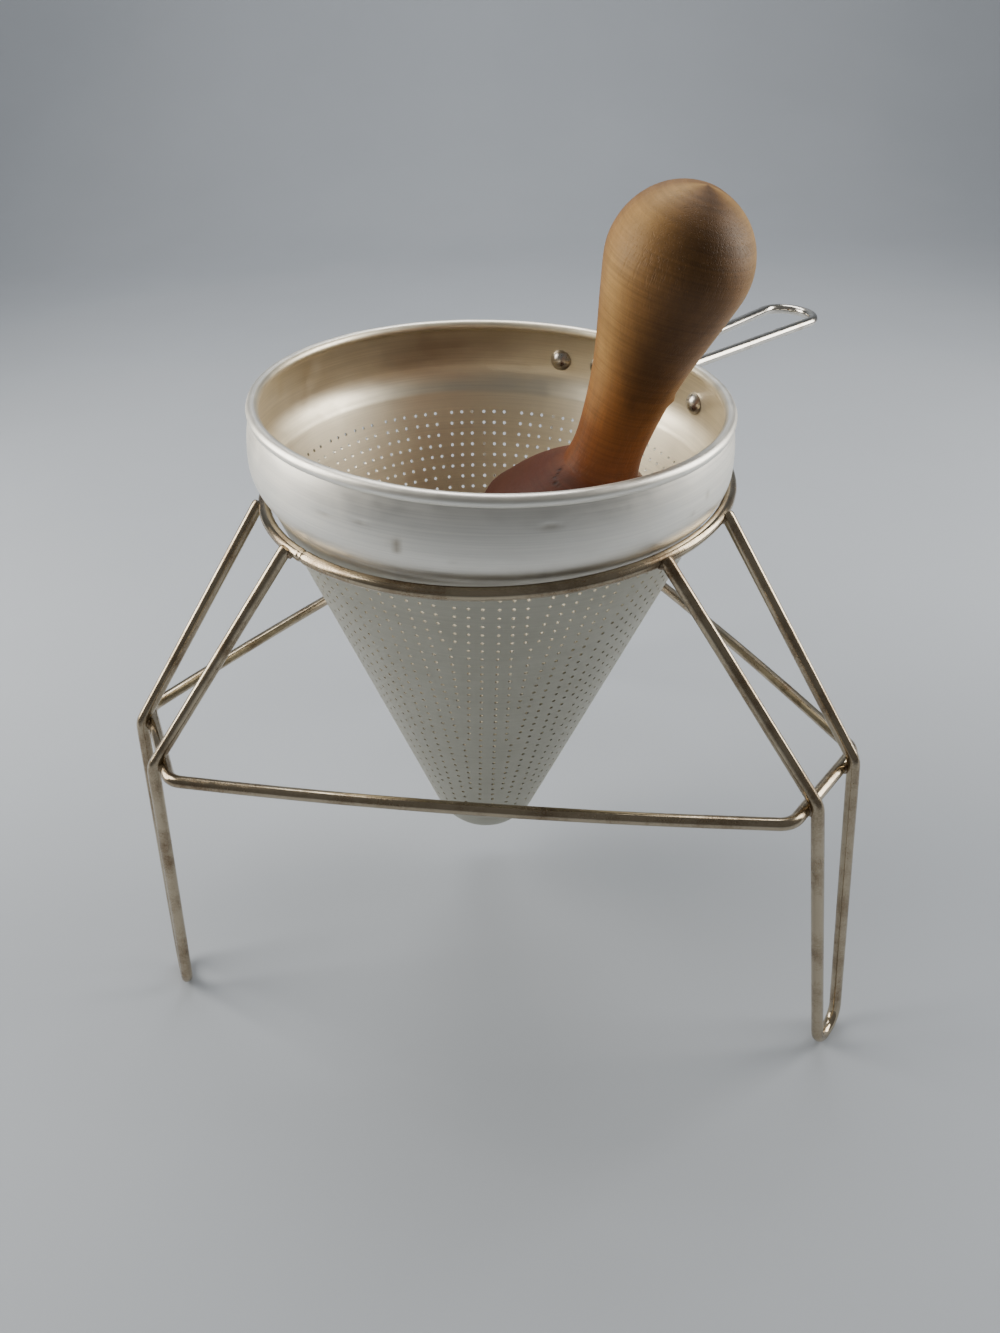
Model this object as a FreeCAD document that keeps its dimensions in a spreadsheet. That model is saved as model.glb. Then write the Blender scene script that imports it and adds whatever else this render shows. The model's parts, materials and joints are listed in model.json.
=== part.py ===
import FreeCAD, Part
import math
import os

import Sketcher

# Cone ricer: spun strainer with a wire handle, standing in a welded wire stand, and a wooden
# pestle. Millimetres, +Z up, the front towards -Y. The origin is on the floor, under the middle
# of the stand's upper ring.

doc = FreeCAD.newDocument("cone_ricer")
sheet = doc.addObject("Spreadsheet::Sheet", "Sizes")

SIZES = [
    # stand
    ("WireRadius", 2.5),
    ("RingRadius", 94.7),
    ("RingHeight", 221.7),
    ("RingNotchAngle", 221.5),
    ("LeftLegAngle", 203.2),
    ("RightLegAngle", 319.5),
    ("RearLegAngle", 84.1),
    ("TopSpreadAngle", 13.0),
    ("TopOut", 1.9),
    ("TopRise", 0.9),
    ("WeldDepth", 0.2),
    ("KneeRadius", 160.8),
    ("KneeHalfWidth", 16.1),
    ("KneeHeight", 139.0),
    ("KneeBend", 9.0),
    ("FootRadius", 178.7),
    ("LeftFootRadius", 175.5),
    ("FootHalfWidth", 8.9),
    ("FootWear", 0.15),
    ("WeldOverlap", 0.4),
    ("BraceHeight", 132.3),
    ("BraceSlopeX", -0.0178),
    ("BraceSlopeY", -0.0506),
    ("BraceHalfWidth", 28.0),
    ("BraceBend", 9.0),
    ("BraceBow", 3.6),
    # strainer
    ("LeanAngle", 3.46),
    ("LeanTowards", 348.5),
    ("StrainerShift", -2.2),
    ("StrainerLift", 1.2),
    ("SheetThickness", 1.2),
    ("ConeRadius", 90.5),
    ("ConeSlope", 0.373),
    ("NoseRadius", 27.5),
    ("CreaseHeight", 2.1),
    ("BellyRadius", 96.3),
    ("BellyHeight", 14.5),
    ("GrooveRadius", 94.0),
    ("GrooveHeight", 31.5),
    ("BeadCircle", 92.6),
    ("BeadRadius", 2.4),
    ("BeadHeight", 33.1),
    ("BeadWall", 1.0),
    # handle and rivets
    ("HandleAngle", 45.0),
    ("HandleHeight", 18.3),
    ("HandleReach", 242.0),
    ("HandleRise", 1.5),
    ("HandleNeckHalfWidth", 7.5),
    ("HandleEndHalfWidth", 14.5),
    ("TabThickness", 2.6),
    ("TabHeight", 8.0),
    ("WireEndAngle", 9.2),
    ("TabStartAngle", 7.6),
    ("TabEndAngle", 28.2),
    ("InnerRivetAngle", 11.9),
    ("OuterRivetAngle", 23.8),
    ("RivetShankRadius", 2.0),
    ("RivetFill", 0.03),
    ("RivetHeadRadius", 4.9),
    ("RivetHeadHeight", 3.1),
    ("RivetTailRadius", 3.4),
    ("RivetTailHeight", 1.7),
    # pestle
    ("PestleTowards", 328.6),
    ("PestleLean", 15.45),
    ("PestleOut", 41.4),
    ("PestleHeight", -11.2),
    ("PestleHeadRadius", 40.6),
    ("PestleHeadLength", 118.0),
    ("PestleTipRadius", 21.0),
    ("PestleNeckRadius", 13.9),
    ("PestleBulbRadius", 25.3),
    ("PestleHandleLength", 132.5),
]

for row, (alias, number) in enumerate(SIZES, start=1):
    sheet.set("A%d" % row, alias)
    sheet.set("B%d" % row, str(number))
    sheet.setAlias("B%d" % row, alias)
doc.recompute()
size = {alias: float(sheet.get(alias)) for alias, number in SIZES}

V = FreeCAD.Vector
Z_AXIS = V(0, 0, 1)
NODES = []


def turned(degrees):
    return FreeCAD.Rotation(Z_AXIS, degrees)


def node(obj, label, placement=None):
    """Keeps the object as one physical piece; the label names its file."""
    obj.Label = label
    if placement is not None:
        obj.Placement = placement
    NODES.append(obj)
    return obj


def bound(kind, name, **rules):
    """New object whose properties follow the sheet; dots in a rule's name are double underscores."""
    obj = doc.addObject(kind, name)
    for key, rule in rules.items():
        obj.setExpression(key.replace("__", "."), rule)
    return obj


def combine(kind, name, base, tool):
    result = doc.addObject(kind, name)
    result.Base = base
    result.Tool = tool
    return result


def fuse(name, shapes):
    result = doc.addObject("Part::MultiFuse", name)
    result.Shapes = shapes
    return result


# ------------------------------------------------------------------ bent wire


def bent_wire(corners, bends, closed=False):
    """Centre line through the corners, each corner rounded to its own bend radius."""
    count = len(corners)
    starts = []
    middles = []
    ends = []
    for i in range(count):
        here = corners[i]
        if not closed and i in (0, count - 1):
            starts.append(here)
            middles.append(None)
            ends.append(here)
            continue
        back = (corners[i - 1] - here).normalize()
        ahead = (corners[(i + 1) % count] - here).normalize()
        half = back.getAngle(ahead) / 2
        setback = bends[i] / math.tan(half)
        towards = (back + ahead).normalize()
        starts.append(here + back * setback)
        middles.append(here + towards * (bends[i] / math.sin(half) - bends[i]))
        ends.append(here + ahead * setback)
    edges = []
    for i in range(count):
        if middles[i] is not None:
            edges.append(Part.Arc(starts[i], middles[i], ends[i]).toShape())
        if i < count - 1 or closed:
            after = starts[(i + 1) % count]
            if ends[i].distanceToPoint(after) > 0.001:
                edges.append(Part.makeLine(ends[i], after))
    return Part.Wire(edges)


def wire_sweep(name, centre_line):
    """Round wire along a centre line; its thickness follows the sheet."""
    spine = doc.addObject("Part::Feature", name + "_centre_line")
    spine.Shape = centre_line
    first = centre_line.Edges[0]
    start = first.valueAt(first.FirstParameter)
    along = first.tangentAt(first.FirstParameter)
    section = bound("Part::Circle", name + "_section", Radius="Sizes.WireRadius")
    section.Placement = FreeCAD.Placement(start, FreeCAD.Rotation(Z_AXIS, along))
    sweep = doc.addObject("Part::Sweep", name)
    sweep.Sections = [section]
    sweep.Spine = (spine, ["Edge%d" % (i + 1) for i in range(len(centre_line.Edges))])
    sweep.Solid = True
    sweep.Frenet = False
    return sweep


# ---------------------------------------------------------------------- stand

ring_torus = bound(
    "Part::Torus",
    "ring_torus",
    Radius1="Sizes.RingRadius",
    Radius2="Sizes.WireRadius",
    Placement__Base__z="Sizes.RingHeight",
)

# The ring's wire meets itself in a butt joint that was never filled flush.
notch = doc.addObject("Part::Box", "ring_notch")
notch.Length = 4.0
notch.Width = 1.1
notch.Height = 3.0
notch_turn = turned(size["RingNotchAngle"])
notch_base = notch_turn.multVec(V(size["RingRadius"] + size["WireRadius"] - 1.1, -0.55, 0))
notch_base.z = size["RingHeight"] - 1.5
notch.Placement = FreeCAD.Placement(notch_base, notch_turn)
ring = node(combine("Part::Cut", "stand_ring", ring_torus, notch), "stand_ring")

# Distance between the middles of two wires welded across each other.
lap = 2 * size["WireRadius"] - size["WeldOverlap"]


def leg_centre_line(foot_radius):
    """Hairpin in the leg's own frame: x away from the stand's middle, y across, z up."""
    spread = math.radians(size["TopSpreadAngle"])
    top_x = (size["RingRadius"] + size["TopOut"]) * math.cos(spread)
    top_y = (size["RingRadius"] + size["TopOut"]) * math.sin(spread)
    top_z = size["RingHeight"] + size["TopRise"]
    low = size["WireRadius"] - size["FootWear"]
    points = []
    for side in (1, -1):
        strand = [
            V(top_x, side * top_y, top_z),
            V(size["KneeRadius"], side * size["KneeHalfWidth"], size["KneeHeight"]),
            V(foot_radius, side * size["FootHalfWidth"], low),
        ]
        points = points + (strand if side == 1 else strand[::-1])
    foot = size["FootHalfWidth"] - 0.6
    return bent_wire(points, [0, size["KneeBend"], foot, foot, size["KneeBend"], 0])


LEGS = (
    ("leg_left", "LeftLegAngle", "LeftFootRadius"),
    ("leg_right", "RightLegAngle", "FootRadius"),
    ("leg_rear", "RearLegAngle", "FootRadius"),
)
# A leg's wires butt against the ring; this is the ring less the depth of the weld.
weld_core = bound(
    "Part::Torus",
    "weld_core",
    Radius1="Sizes.RingRadius",
    Radius2="Sizes.WireRadius - Sizes.WeldDepth",
    Placement__Base__z="Sizes.RingHeight",
)
for leg_name, angle_name, foot_name in LEGS:
    hairpin = wire_sweep(leg_name + "_hairpin", leg_centre_line(size[foot_name]))
    # The bend has worn a narrow flat where it stands on the floor.
    floor = doc.addObject("Part::Box", leg_name + "_floor")
    floor.Length = 60.0
    floor.Width = 60.0
    floor.Height = 10.0
    floor.Placement.Base = V(size[foot_name] - 30, -30, -10)
    worn = combine("Part::Cut", leg_name + "_worn", hairpin, floor)
    leg = node(combine("Part::Cut", leg_name, worn, weld_core), leg_name)
    leg.Placement.Rotation = turned(size[angle_name])
    leg.setExpression("Placement.Rotation.Angle", "Sizes." + angle_name)


def brace_height(point):
    """Height of the brace over a point: it was welded in a little out of level."""
    slopes = size["BraceSlopeX"] * point.x + size["BraceSlopeY"] * point.y
    return size["BraceHeight"] + slopes


def brace_centre_line():
    """Closed loop: a short side inside each leg's knee, a long bowed side between legs."""
    across = size["BraceHalfWidth"]
    bow = 1.8 * size["BraceBow"]
    bend = size["BraceBend"]
    shorts = []
    for leg_name, angle_name, foot_name in LEGS:
        turn = turned(size[angle_name])
        height = brace_height(turn.multVec(V(size["KneeRadius"], 0, 0)))
        along_leg = leg_centre_line(size[foot_name]).discretize(4000)
        inside = min(along_leg, key=lambda p: abs(p.z - height)).x - lap + 0.2
        shorts.append([turn.multVec(V(inside, side * across, 0)) for side in (-1, 1)])
    corners = []
    bends = []
    for i in range(3):
        near, far = shorts[i]
        after = shorts[(i + 1) % 3][0]
        middle = (far + after) * 0.5
        apex = middle + V(middle.x, middle.y, 0).normalize() * bow
        half_length = far.distanceToPoint(after) / 2
        bow_radius = (half_length - 2.4 * bend) * half_length / bow
        corners = corners + [near, far, apex]
        bends = bends + [bend, bend, bow_radius]
    return bent_wire([corner + V(0, 0, brace_height(corner)) for corner in corners], bends, closed=True)


brace = node(wire_sweep("stand_brace", brace_centre_line()), "stand_brace")

# ------------------------------------------------------------------- strainer
# The strainer, its handle, the rivets and the pestle are drawn upright about the strainer's own
# axis, z = 0 at the ring's height, and then leaned together, as they rest in the ring.

lean_across = turned(size["LeanTowards"]).multVec(V(0, 1, 0))
lean = FreeCAD.Rotation(lean_across, size["LeanAngle"])
seat = V(size["StrainerShift"], 0, size["RingHeight"] + size["StrainerLift"])
LEANED = FreeCAD.Placement(seat, lean)


def lean_node(obj, label, own=None):
    """Places a piece of the leaning group and binds its tilt and its shift to the sheet."""
    node(obj, label, LEANED if own is None else LEANED.multiply(own))
    if own is None:
        obj.setExpression("Placement.Rotation.Angle", "Sizes.LeanAngle")
        obj.setExpression("Placement.Base.x", "Sizes.StrainerShift")
        obj.setExpression("Placement.Base.z", "Sizes.RingHeight + Sizes.StrainerLift")
    return obj


def new_sketch(body, name, role):
    """Sketch on one of the body's origin planes, found by its role."""
    sketch = body.newObject("Sketcher::SketchObject", name)
    for feature in body.Origin.OriginFeatures:
        if feature.Role == role:
            sketch.AttachmentSupport = [(feature, "")]
    sketch.MapMode = "FlatFace"
    return sketch


def pin(sketch, edge, end, across, up):
    """Fixes one point of the sketch with two distances; each is (length, rule or None)."""
    for kind, (length, rule) in (("DistanceX", across), ("DistanceY", up)):
        constraint = Sketcher.Constraint(kind, -1, 1, edge, end, length)
        index = sketch.addConstraint(constraint)
        if rule:
            sketch.setExpression("Constraints[%d]" % index, rule)


half_angle = math.atan(size["ConeSlope"])
nose_centre = (size["NoseRadius"] / math.cos(half_angle) - size["ConeRadius"]) / size["ConeSlope"]


def bow_arc(low, high, centre):
    """Arc between two points about a centre."""
    towards = ((low - centre) + (high - centre)).normalize()
    return Part.Arc(low, centre + towards * low.distanceToPoint(centre), high)


def level_centre(low, high, height):
    """Centre at the given height that is equally far from two points."""
    a = low.y - height
    b = high.y - height
    across = (high.x ** 2 - low.x ** 2 + b ** 2 - a ** 2) / (2 * (high.x - low.x))
    return V(across, height, 0)


def draw_face(sketch, offset):
    """Adds one face of the sheet, moved inward by the offset, from the nose to the groove."""
    nose = size["NoseRadius"] - offset
    cone = size["ConeRadius"] - offset / math.cos(half_angle)
    level = size["BellyHeight"]
    bottom = V(0, nose_centre - nose, 0)
    tangent = V(nose * math.cos(half_angle), nose_centre - nose * math.sin(half_angle), 0)
    crease = V(cone + size["ConeSlope"] * size["CreaseHeight"], size["CreaseHeight"], 0)
    belly = V(size["BellyRadius"] - offset, level, 0)
    groove = V(size["GrooveRadius"] - offset, size["GrooveHeight"], 0)
    sketch.addGeometry(bow_arc(bottom, tangent, V(0, nose_centre, 0)), False)
    side = sketch.addGeometry(Part.LineSegment(tangent, crease), False)
    sketch.addGeometry(bow_arc(crease, belly, level_centre(crease, belly, level)), False)
    top = sketch.addGeometry(bow_arc(belly, groove, level_centre(belly, groove, level)), False)
    less = " - Sizes.SheetThickness" if offset else ""
    pin(sketch, side, 1, (tangent.x, None), (tangent.y, None))
    pin(sketch, side, 2, (crease.x, None), (crease.y, "Sizes.CreaseHeight"))
    pin(sketch, top, 1, (belly.x, "Sizes.BellyRadius" + less), (belly.y, "Sizes.BellyHeight"))
    pin(sketch, top, 2, (groove.x, "Sizes.GrooveRadius" + less), (groove.y, "Sizes.GrooveHeight"))
    return bottom, groove


strainer_body = doc.addObject("PartDesign::Body", "spun_sheet_body")
profile = new_sketch(strainer_body, "sheet_profile", "XZ_Plane")
outer_bottom, outer_groove = draw_face(profile, 0.0)
inner_bottom, inner_groove = draw_face(profile, size["SheetThickness"])
profile.addGeometry(Part.LineSegment(outer_groove, inner_groove), False)
profile.addGeometry(Part.LineSegment(inner_bottom, outer_bottom), False)
spun = strainer_body.newObject("PartDesign::Revolution", "spun_sheet")
spun.Profile = profile
spun.ReferenceAxis = (profile, ["V_Axis"])
spun.Angle = 360.0

# The rolled bead is hollow; a seam on its inner lower side is where the rolled sheet ends.
bead_rules = {"Radius1": "Sizes.BeadCircle", "Placement__Base__z": "Sizes.BeadHeight"}
bead_out = bound("Part::Torus", "bead_out", Radius2="Sizes.BeadRadius", **bead_rules)
bead_in = bound("Part::Torus", "bead_in", Radius2="Sizes.BeadRadius - Sizes.BeadWall", **bead_rules)
seam_rules = {"Placement__Base__z": "Sizes.BeadHeight - Sizes.BeadRadius - 0.3", "Height": "Sizes.BeadRadius - 0.4"}
seam_out = bound("Part::Cylinder", "seam_out", Radius="Sizes.BeadCircle - 0.7", **seam_rules)
seam_in = bound("Part::Cylinder", "seam_in", Radius="Sizes.BeadCircle - 1.05", **seam_rules)
seam = combine("Part::Cut", "bead_seam", seam_out, seam_in)
bead = combine("Part::Cut", "bead_tube", bead_out, bead_in)
bead_open = combine("Part::Cut", "bead_open", bead, seam)
sheet_and_bead = fuse("sheet_and_bead", [strainer_body, bead_open])

# ---------------------------------------------------------- handle and rivets

RIVET_TURNS = []
for side in (1, -1):
    for name in ("OuterRivetAngle", "InnerRivetAngle"):
        RIVET_TURNS.append(size["HandleAngle"] + side * size[name])
RIVET_TURNS.sort(reverse=True)


def radial(turn, out, height):
    """Frame on a radius of the strainer: its z axis points away from the strainer's axis."""
    rotation = turned(turn).multiply(FreeCAD.Rotation(V(0, 1, 0), 90))
    base = turned(turn).multVec(V(out, 0, 0))
    return FreeCAD.Placement(V(base.x, base.y, height), rotation)


def rivet_holes(name):
    drills = []
    for number, turn in enumerate(RIVET_TURNS, start=1):
        drill = bound(
            "Part::Cylinder",
            "%s_%d" % (name, number),
            Radius="Sizes.RivetShankRadius - Sizes.RivetFill",
        )
        drill.Height = 20.0
        drill.Placement = radial(turn, 86.0, size["HandleHeight"])
        drills.append(drill)
    return fuse(name, drills)


strainer = combine("Part::Cut", "strainer_cone", sheet_and_bead, rivet_holes("sheet_drill"))
lean_node(strainer, "strainer_cone")

# The handle's wire is round in the loop and squeezed flat where it is riveted to the belly.
tab_inner = size["BellyRadius"] + 0.06
tab_rules = {"Placement__Base__z": "Sizes.HandleHeight - Sizes.TabHeight / 2", "Height": "Sizes.TabHeight"}
tabs = []
for side, turn in (("a", size["TabStartAngle"]), ("b", -size["TabEndAngle"])):
    solid = bound(
        "Part::Cylinder",
        "tab_out_" + side,
        Radius="Sizes.BellyRadius + 0.06 + Sizes.TabThickness",
        Angle="Sizes.TabEndAngle - Sizes.TabStartAngle",
        **tab_rules
    )
    hollow = bound("Part::Cylinder", "tab_in_" + side, Radius="Sizes.BellyRadius + 0.06", **tab_rules)
    solid.Placement.Rotation = turned(size["HandleAngle"] + turn)
    strip = combine("Part::Cut", "tab_strip_" + side, solid, hollow)
    doc.recompute()
    corners = []
    for number, edge in enumerate(strip.Shape.Edges, start=1):
        if edge.Curve.TypeId != "Part::GeomLine":
            continue
        if abs(edge.tangentAt(edge.FirstParameter).z) > 0.5:
            continue
        corners.append((number, 3.4, 3.4))
    rounded = doc.addObject("Part::Fillet", "tab_" + side)
    rounded.Base = strip
    rounded.Edges = corners
    tabs.append(rounded)


def handle_centre_line():
    """Loop in the handle's own frame: x away from the strainer's axis, y across."""
    run = size["BellyRadius"] + 0.1 + size["WireRadius"]
    begin = math.radians(size["WireEndAngle"])
    neck = size["HandleNeckHalfWidth"]
    wide = size["HandleEndHalfWidth"]
    start = V(run * math.cos(begin), run * math.sin(begin), 0)
    turn_x = start.x + (start.y - neck) * math.tan(begin)
    far = V(size["HandleReach"], wide, size["HandleRise"])
    corners = [start, V(turn_x, neck, 0), far]
    corners = corners + [V(p.x, -p.y, p.z) for p in reversed(corners)]
    bends = [0, 7.0, 0.93 * wide, 0.93 * wide, 7.0, 0]
    return bent_wire(corners, bends)


loop = wire_sweep("handle_loop", handle_centre_line())
loop.Placement = FreeCAD.Placement(V(0, 0, size["HandleHeight"]), turned(size["HandleAngle"]))
handle_blank = fuse("handle_blank", [loop] + tabs)
handle = combine("Part::Cut", "handle_wire", handle_blank, rivet_holes("tab_drill"))
lean_node(handle, "handle_wire")


def cap(name, radius, rise, face, down):
    """Domed head of a rivet; its flat face lies at the height given."""
    ball = (radius ** 2 + rise ** 2) / (2 * rise)
    edge = math.degrees(math.asin((ball - rise) / ball))
    dome = doc.addObject("Part::Sphere", name)
    dome.Radius = ball
    dome.Angle1 = -90 if down else edge
    dome.Angle2 = -edge if down else 90
    dome.Placement.Base.z = face + (ball - rise) * (1 if down else -1)
    return dome


# A rivet stands on its dome's flat face inside the belly and is set over the tab outside.
rivet_seat = size["BellyRadius"] - size["SheetThickness"] - 0.6
grip = size["BellyRadius"] + 0.06 + size["TabThickness"] - rivet_seat
for number, turn in enumerate(RIVET_TURNS, start=1):
    inside = cap("rivet_dome_%d" % number, size["RivetHeadRadius"], size["RivetHeadHeight"], 0, True)
    outside = cap("rivet_tail_%d" % number, size["RivetTailRadius"], size["RivetTailHeight"], grip, False)
    shank = bound("Part::Cylinder", "rivet_shank_%d" % number, Radius="Sizes.RivetShankRadius")
    shank.Height = grip + 0.5
    shank.Placement.Base.z = -0.25
    rivet = fuse("rivet_body_%d" % number, [inside, shank, outside])
    lean_node(rivet, "rivet_%d" % number, radial(turn, rivet_seat, size["HandleHeight"]))

# --------------------------------------------------------------------- pestle


def pestle_outline():
    """Half outline along the pestle's axis, z = 0 at the widest part of its head."""
    bulb = size["PestleBulbRadius"]
    neck = size["PestleNeckRadius"]
    head = size["PestleHeadRadius"]
    tip = size["PestleTipRadius"]
    top = size["PestleHandleLength"]
    low = size["PestleHeadLength"]
    taper = math.tan(half_angle - math.radians(size["PestleLean"]))
    grip = [
        V(0, 0, top),
        V(bulb * 0.69, 0, top - 0.052 * top),
        V(bulb * 0.93, 0, top - 0.118 * top),
        V(bulb, 0, top - 0.19 * top),
        V(bulb * 0.945, 0, top - 0.25 * top),
        V(bulb * 0.815, 0, top - 0.348 * top),
        V(neck * 1.17, 0, top - 0.486 * top),
        V(neck, 0, top - 0.63 * top),
        V(neck * 1.08, 0, top - 0.79 * top),
    ]
    upper = Part.BSplineCurve()
    downward = V(0.3, 0, -1).normalize()
    upper.interpolate(Points=grip, InitialTangent=V(1, 0, 0), FinalTangent=downward, Scale=False)
    corner = grip[-1]
    rim = V(head * 0.95, 0, 0.015 * top)
    crown = V(corner.z - rim.z, 0, rim.x - corner.x).normalize() * 1.9
    shoulder = Part.Arc(corner, (corner + rim) * 0.5 + crown, rim)
    edge_round = Part.Arc(rim, V(head - 0.65, 0, -1.6), V(head - 4.6 * taper, 0, -4.6))
    side_low = V(head - 62 * taper, 0, -62)
    side = Part.makeLine(V(head - 4.6 * taper, 0, -4.6), side_low)
    nose = Part.BSplineCurve()
    nose_points = [
        side_low,
        V((side_low.x + tip) * 0.525, 0, -0.77 * low),
        V(tip, 0, -0.945 * low),
        V(tip * 0.55, 0, -0.99 * low),
        V(0, 0, -low),
    ]
    nose.interpolate(Points=nose_points, InitialTangent=V(-taper, 0, -1), FinalTangent=V(-1, 0, 0))
    axis = Part.makeLine(V(0, 0, -low), V(0, 0, top))
    return Part.Wire([upper.toShape(), shoulder.toShape(), edge_round.toShape(), side, nose.toShape(), axis])


outline = doc.addObject("Part::Feature", "pestle_outline")
outline.Shape = Part.Face(pestle_outline())
pestle = doc.addObject("Part::Revolution", "pestle")
pestle.Source = outline
pestle.Axis = Z_AXIS
pestle.Angle = 360.0
pestle.Solid = True
pestle_turn = turned(size["PestleTowards"])
pestle_base = pestle_turn.multVec(V(size["PestleOut"], 0, 0)) + V(0, 0, size["PestleHeight"])
pestle_tilt = FreeCAD.Rotation(pestle_turn.multVec(V(0, 1, 0)), size["PestleLean"])
lean_node(pestle, "pestle", FreeCAD.Placement(pestle_base, pestle_tilt))

# --------------------------------------------------------------------- export

doc.recompute()
for obj in doc.Objects:
    if "Invalid" in obj.State or "Error" in obj.State:
        raise RuntimeError("%s is not computed: %s" % (obj.Name, obj.State))
os.makedirs("parts", exist_ok=True)
for obj in NODES:
    if obj.Shape.isNull() or not obj.Shape.isValid():
        raise RuntimeError(obj.Label + " has no valid shape")
    if len(obj.Shape.Solids) != 1:
        raise RuntimeError("%s has %d solids" % (obj.Label, len(obj.Shape.Solids)))
    obj.Shape.exportStep("parts/%s.step" % obj.Label)
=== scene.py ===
import json
import math

import bpy
import numpy as np
from mathutils import Matrix, Vector


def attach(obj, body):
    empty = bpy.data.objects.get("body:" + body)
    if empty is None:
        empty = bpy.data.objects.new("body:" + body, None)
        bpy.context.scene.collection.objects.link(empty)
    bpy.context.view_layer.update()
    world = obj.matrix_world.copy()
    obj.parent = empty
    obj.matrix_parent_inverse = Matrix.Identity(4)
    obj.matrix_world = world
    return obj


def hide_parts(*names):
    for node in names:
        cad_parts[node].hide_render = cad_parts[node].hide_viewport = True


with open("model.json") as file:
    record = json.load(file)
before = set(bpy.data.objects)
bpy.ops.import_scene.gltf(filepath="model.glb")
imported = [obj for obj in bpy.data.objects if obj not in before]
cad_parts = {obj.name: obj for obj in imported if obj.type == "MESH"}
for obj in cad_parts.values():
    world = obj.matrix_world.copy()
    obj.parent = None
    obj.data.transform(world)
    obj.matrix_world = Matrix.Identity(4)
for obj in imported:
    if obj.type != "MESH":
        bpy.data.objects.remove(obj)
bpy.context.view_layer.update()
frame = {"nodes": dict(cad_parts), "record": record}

# Cone ricer: a perforated spun strainer with a wire handle, a welded wire stand and a turned
# wooden pestle. Shapes are worked out in millimetres and put into the meshes in metres.

MM = 0.001
FULL_TURN = 2 * math.pi
MIRROR = np.array([1, -1, 1])
UPRIGHT = np.eye(3)
NO_SHIFT = np.zeros(3)

# ------------------------------------------------------------------ where the pieces stand

roll = next(j for j in frame["record"]["behaviour"]["joints"] if j["name"] == "pestle_roll")
STRAINER_SEAT = np.array(roll["pos_m"]) / MM
STRAINER_LEAN = np.array(Vector((0, 0, 1)).rotation_difference(Vector(roll["axis"])).to_matrix())


def turned(degrees):
    """Rotation about +Z as a 3x3 array."""
    return np.array(Matrix.Rotation(math.radians(degrees), 3, "Z"))


PESTLE_ANGLE = 15.45
PESTLE_OUT = 41.4
PESTLE_HEIGHT = -11.2
PESTLE_TURN = turned(328.6)
PESTLE_TILT = PESTLE_TURN @ np.array(Matrix.Rotation(math.radians(PESTLE_ANGLE), 3, "Y")) @ PESTLE_TURN.T
PESTLE_LEAN = STRAINER_LEAN @ PESTLE_TILT
PESTLE_SEAT = PESTLE_TURN @ np.array([PESTLE_OUT, 0, 0]) + np.array([0, 0, PESTLE_HEIGHT])
PESTLE_SEAT = STRAINER_SEAT + STRAINER_LEAN @ PESTLE_SEAT


def placed(points, lean, seat):
    """Moves points from a piece's own upright frame to the place where it leans."""
    return points @ lean.T + seat


# ------------------------------------------------------------------------------- meshes


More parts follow.
